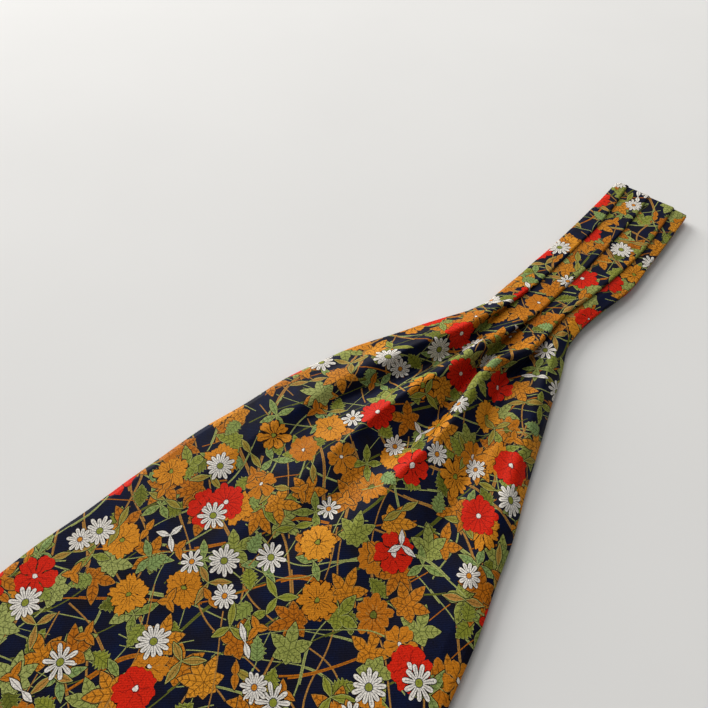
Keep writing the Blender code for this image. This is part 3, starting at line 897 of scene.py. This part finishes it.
def silk_twill(name, print_shift):
    """Printed silk twill with a faint satin bloom, cut from the print at print_shift, in metres."""
    material = bpy.data.materials.new(name)
    material.use_nodes = True
    screen = PrintScreen(material)
    print_map = screen.node("UVMap", uv_map="cloth")
    shift = tuple(distance / MM for distance in (*print_shift, 0.0))
    place = screen.vector("MULTIPLY_ADD", print_map.outputs[0], (PRINT_SCALE, PRINT_SCALE, 0.0), shift)
    paint = floral_print(screen, place)
    worn = screen.noise(place, 1.6, 3.0)["Fac"]
    dots = screen.node("TexVoronoi")
    screen.fill(dots.inputs["Vector"], place)
    dots.inputs["Scale"].default_value = 1.5
    stippled = screen.sum("GREATER_THAN", screen.noise(place, 0.5, 1.0)["Fac"], 0.47)
    dot = screen.sum("LESS_THAN", dots.outputs["Distance"], 0.3)
    stipple = screen.sum("MULTIPLY_ADD", screen.sum("MULTIPLY", stippled, dot), -STIPPLE_INK, 1.0)
    brightness = screen.sum("MULTIPLY_ADD", worn, PRINT_GRAIN, 0.14)
    faded = screen.node("HueSaturation")
    screen.fill(faded.inputs["Color"], paint)
    screen.fill(faded.inputs["Value"], screen.sum("MULTIPLY", brightness, stipple))
    shader = material.node_tree.nodes["Principled BSDF"]
    screen.fill(shader.inputs["Base Color"], faded.outputs[0])
    gloss = screen.sum("MULTIPLY_ADD", screen.noise(place, 0.25, 3.0)["Fac"], 0.16, 0.44)
    screen.fill(shader.inputs["Roughness"], gloss)
    shader.inputs["Specular IOR Level"].default_value = 0.05
    shader.inputs["Sheen Weight"].default_value = 0.01
    shader.inputs["Sheen Roughness"].default_value = 0.45
    ribs = screen.node("TexWave", wave_type="BANDS", bands_direction="DIAGONAL")
    screen.fill(ribs.inputs["Vector"], place)
    ribs.inputs["Scale"].default_value = 0.55
    ribs.inputs["Distortion"].default_value = 0.6
    slub = screen.sum("MULTIPLY_ADD", screen.noise(place, 2.2, 2.0)["Fac"], 0.6, ribs.outputs["Fac"])
    weave = screen.node("Bump")
    weave.inputs["Strength"].default_value = 0.16
    weave.inputs["Distance"].default_value = 0.12 * MM
    screen.fill(weave.inputs["Height"], slub)
    screen.fill(shader.inputs["Normal"], weave.outputs[0])
    return material


printed_silk = silk_twill("printed_silk", (0.112, 0.012))
upper_cloth.data.materials.append(printed_silk)
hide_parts("upper_blade_front", "neckband_upper", "neckband_turn", "neckband_lower")
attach(upper_cloth, "root")


# The linings of the two blades
# Plain panels of the same printed silk, one to each blade. Each is felled by hand to its face cloth's
# hems, so it lies a little inside them.
LINING_INSET = 2.2 * MM
LINING_START = 136 * MM
LOWER_POINT_STATION = 502 * MM
LOWER_INSET = 2.5 * MM
LOWER_SLIP = 3 * MM
SLIP_START = 300 * MM
UPPER_LINING_MIDDLE = 2.85 * MM
LOWER_LINING_MIDDLE = 2.1 * MM
LINING_THICKNESS = 0.4 * MM
LINING_POINTS = 41
LINING_STEP = 5 * MM
LINING_CREASES = [
    (((-20.0, 160.0), (-32.0, 205.0), (-38.0, 260.0)), -0.15, 4.0),
    (((14.0, 158.0), (26.0, 200.0), (40.0, 250.0)), -0.15, 5.0),
]


def slipped(station):
    """The lower blade has slid a little to the left of the upper one towards its point."""
    return -LOWER_SLIP * max(0.0, (station - SLIP_START) / (FOLDED_LENGTH - SLIP_START))


def lining(name, middle_height, point_station, length, inset, slips, print_shift):
    """A panel of lining, drawn in a little between its stitches."""
    rings, prints = [], []
    for station in stations_between(LINING_START, length - inset, LINING_STEP):
        keep = point_narrowing(station, point_station, length - inset)
        at = min(station, point_station)
        middle = slipped(station) * slips
        left = middle + (outline("left", at) + inset) * keep
        right = middle + (outline("right", at) - inset) * keep
        x = np.linspace(left, right, LINING_POINTS)
        z = middle_height + crease_lift(LINING_CREASES, x, np.full(len(x), station))
        top, low = z + LINING_THICKNESS / 2, z - LINING_THICKNESS / 2
        across = np.concatenate([x, x[::-1]])
        y = np.full(len(across), FOLDED_LENGTH / 2 - station)
        rings.append(np.column_stack([across, y, np.concatenate([top, low[::-1]])]))
        prints.append(np.column_stack([across, np.full(len(across), station)]))
    panel = shell(name, rings, prints)
    panel.data.materials.append(silk_twill(name, print_shift))
    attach(panel, "root")
    return panel


upper_lining = lining(
    "upper_lining", UPPER_LINING_MIDDLE, UPPER_POINT_STATION, UPPER_LENGTH,
    inset=LINING_INSET, slips=0, print_shift=(0.41, 0.27),
)
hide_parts("upper_blade_back")
lower_lining = lining(
    "lower_lining", LOWER_LINING_MIDDLE, LOWER_POINT_STATION, FOLDED_LENGTH,
    inset=LINING_INSET + LOWER_INSET, slips=1, print_shift=(0.63, 0.09),
)
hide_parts("lower_blade_back")


# The face cloth of the lower blade
# The same printed silk as the upper blade, lying face down on the table, with its hems turned up and in.
# Small creases run out from the neck, where its pleats are gathered into the band.
LOWER_HEM_FOLD = 0.45 * MM
LOWER_HEM_POINTS = (7, 60)
LOWER_CREASES = [
    (((-9.0, 134.0), (-17.0, 160.0), (-30.0, 196.0)), 0.5, 2.4),
    (((2.0, 134.0), (-2.0, 164.0), (-8.0, 210.0)), 0.5, 2.6),
    (((10.0, 134.0), (17.0, 162.0), (30.0, 200.0)), 0.45, 2.4),
    (((-16.0, 136.0), (-30.0, 164.0), (-46.0, 190.0)), 0.4, 2.2),
]


def lower_section(station):
    """The lower face cloth's middle line at a station, from one hem allowance's edge to the other's."""
    keep = point_narrowing(station, LOWER_POINT_STATION, FOLDED_LENGTH)
    at = min(station, LOWER_POINT_STATION)
    middle = slipped(station)
    left = middle + (outline("left", at) + LOWER_INSET) * keep
    right = middle + (outline("right", at) - LOWER_INSET) * keep
    half_width = (right - left) / 2
    fold = min(LOWER_HEM_FOLD, MOST_HEM_FOLD * half_width)
    depth = min(HEM_DEPTH, MOST_HEM_DEPTH * half_width)
    low, high = SILK / 2, SILK / 2 + 2 * LOWER_HEM_FOLD
    rods = [(left + fold, low + fold, -fold, *LOWER_HEM_POINTS)]
    rods.append((right - fold, low + fold, -fold, LOWER_HEM_POINTS[0], 0))
    return string_over((left + depth, high), rods, (right - depth, high))


lower_rings, lower_prints = [], []
for station in stations_between(NECK_STATION + SEAM_GAP, FOLDED_LENGTH, 4 * MM):
    loop, width = ring_of(lower_section(station), station, LOWER_CREASES)
    y = np.full(len(loop), FOLDED_LENGTH / 2 - station)
    lower_rings.append(np.column_stack([loop[:, 0], y, loop[:, 1]]))
    lower_prints.append(np.column_stack([width, np.full(len(loop), -station)]))
lower_cloth = shell("lower_cloth", lower_rings, lower_prints)
lower_cloth.data.materials.append(printed_silk)
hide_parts("lower_blade_front")
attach(lower_cloth, "root")


# The stay stitches
# Short double tacks of navy silk thread, laid over the edge of each pleat just before it lets go. They
# are fine enough to be lost in the print.
THREAD = 0.13 * MM
THREAD_SIDES = 8
THREAD_LIFT = 0.6 * THREAD
TACK_END = 6
TACK_TIP = 0.05
TACK_STATIONS = (127.2 * MM, 128.6 * MM)
POINTS_TO_FIRST_CREST = 1 + sum(HEM_FOLD_POINTS) + sum(HEM_ROLL_POINTS)
POINTS_TO_NEXT_CREST = sum(CREST_POINTS) + sum(VALLEY_POINTS)
TACK_START = 3
TACK_POINTS = sum(CREST_POINTS) + VALLEY_POINTS[0] - 2


def tack(path):
    """The corners of a tube of thread along a path, slimmer at its ends."""
    path = np.array(path)
    ahead = np.gradient(path, axis=0)
    ahead /= np.linalg.norm(ahead, axis=1)[:, None]
    side = np.array((0.0, 1.0, 0.0))
    up = np.cross(ahead, side)
    angles = np.linspace(0.0, math.tau, THREAD_SIDES, endpoint=False)
    rings = []
    for place, lift, at in zip(path, up, np.linspace(-1.0, 1.0, len(path))):
        radius = THREAD * math.sqrt(max(1 - at**TACK_END, TACK_TIP))
        rings.append(place + radius * (np.cos(angles)[:, None] * side + np.sin(angles)[:, None] * lift))
    return np.vstack(rings)


stitch_corners, stitch_faces = [], []
for station in TACK_STATIONS:
    points, facing = face_section(station)
    raised = points + facing * (SILK / 2 + THREAD_LIFT)
    for pleat_number in range(len(pleats)):
        first = POINTS_TO_FIRST_CREST + pleat_number * POINTS_TO_NEXT_CREST + TACK_START
        y = FOLDED_LENGTH / 2 - station
        start = sum(len(corners) for corners in stitch_corners)
        corners = tack([(x, y, z) for x, z in raised[first : first + TACK_POINTS]])
        rings_laid = len(corners) // THREAD_SIDES
        stitch_corners.append(corners)
        for ring in range(rings_laid - 1):
            for i in range(THREAD_SIDES):
                after = (i + 1) % THREAD_SIDES
                near, far = start + ring * THREAD_SIDES, start + (ring + 1) * THREAD_SIDES
                stitch_faces.append((near + i, near + after, far + after, far + i))
        stitch_faces.append(tuple(start + i for i in reversed(range(THREAD_SIDES))))
        stitch_faces.append(tuple(start + len(corners) - THREAD_SIDES + i for i in range(THREAD_SIDES)))
stitch_mesh = bpy.data.meshes.new("stay_stitches")
stitch_mesh.from_pydata(np.vstack(stitch_corners).tolist(), [], stitch_faces)
stitch_mesh.shade_smooth()
stay_stitches = bpy.data.objects.new("stay_stitches", stitch_mesh)
bpy.context.scene.collection.objects.link(stay_stitches)
silk_thread = bpy.data.materials.new("silk_thread")
silk_thread.use_nodes = True
thread_shader = silk_thread.node_tree.nodes["Principled BSDF"]
thread_shader.inputs["Base Color"].default_value = NAVY
thread_shader.inputs["Roughness"].default_value = 0.5
thread_shader.inputs["Specular IOR Level"].default_value = 0.2
stay_stitches.data.materials.append(silk_thread)
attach(stay_stitches, "root")
